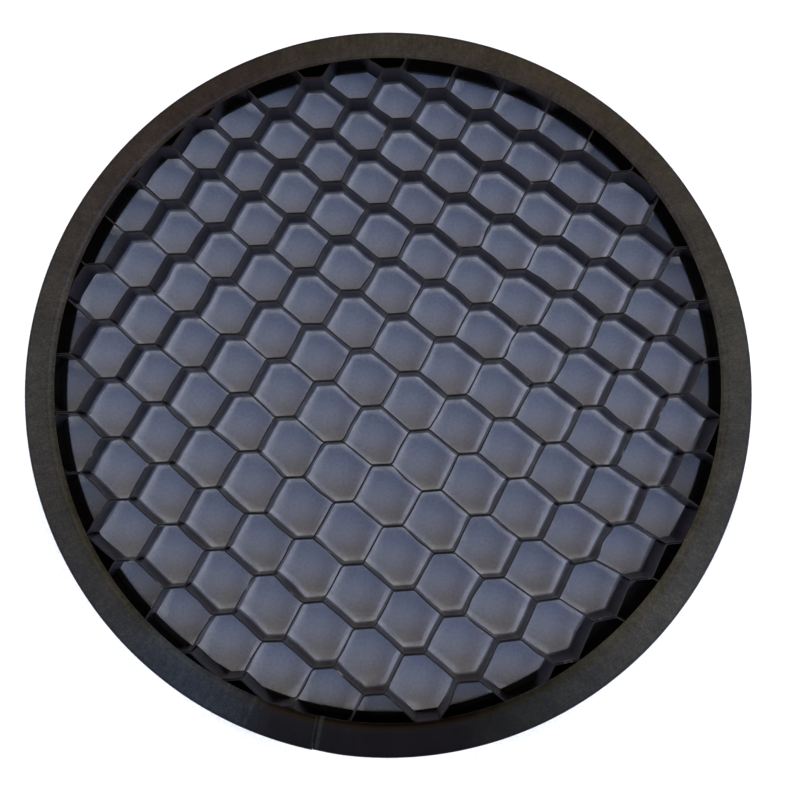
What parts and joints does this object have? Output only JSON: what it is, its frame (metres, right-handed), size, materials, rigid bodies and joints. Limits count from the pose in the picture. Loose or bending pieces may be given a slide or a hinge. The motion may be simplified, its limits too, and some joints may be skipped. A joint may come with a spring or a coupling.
{
  "type": "honeycomb grid",
  "caption": "Round flat honeycomb light grid: black foil honeycomb core held between the turned-in lips of a rolled U-channel rim with a butt seam.",
  "frame": {"origin": "centre of the rim, in the plane of its rear flange", "axes": "+Z out of the front flange along the axis of the rim; +X to the right and +Y away from the viewer as the grid lies flat, with the butt seam of the rim just to the left of -Y"},
  "size_m": [0.17, 0.17, 0.0086],
  "materials": {
    "rim_paint": "satin black paint",
    "core_foil": "semi-gloss black paint"
  },
  "bodies": {
    "root": {"rim_channel": "rim_paint", "ribbon_01": "core_foil", "ribbon_02": "core_foil", "ribbon_03": "core_foil", "ribbon_04": "core_foil", "ribbon_05": "core_foil", "ribbon_06": "core_foil", "ribbon_07": "core_foil", "ribbon_08": "core_foil", "ribbon_09": "core_foil", "ribbon_10": "core_foil", "ribbon_11": "core_foil", "ribbon_12": "core_foil", "ribbon_13": "core_foil", "ribbon_14": "core_foil", "ribbon_15": "core_foil", "ribbon_16": "core_foil", "ribbon_17": "core_foil", "ribbon_18": "core_foil", "ribbon_19": "core_foil", "ribbon_20": "core_foil", "ribbon_21": "core_foil", "ribbon_22": "core_foil", "ribbon_23": "core_foil", "ribbon_24": "core_foil"}
  },
  "joints": []
}
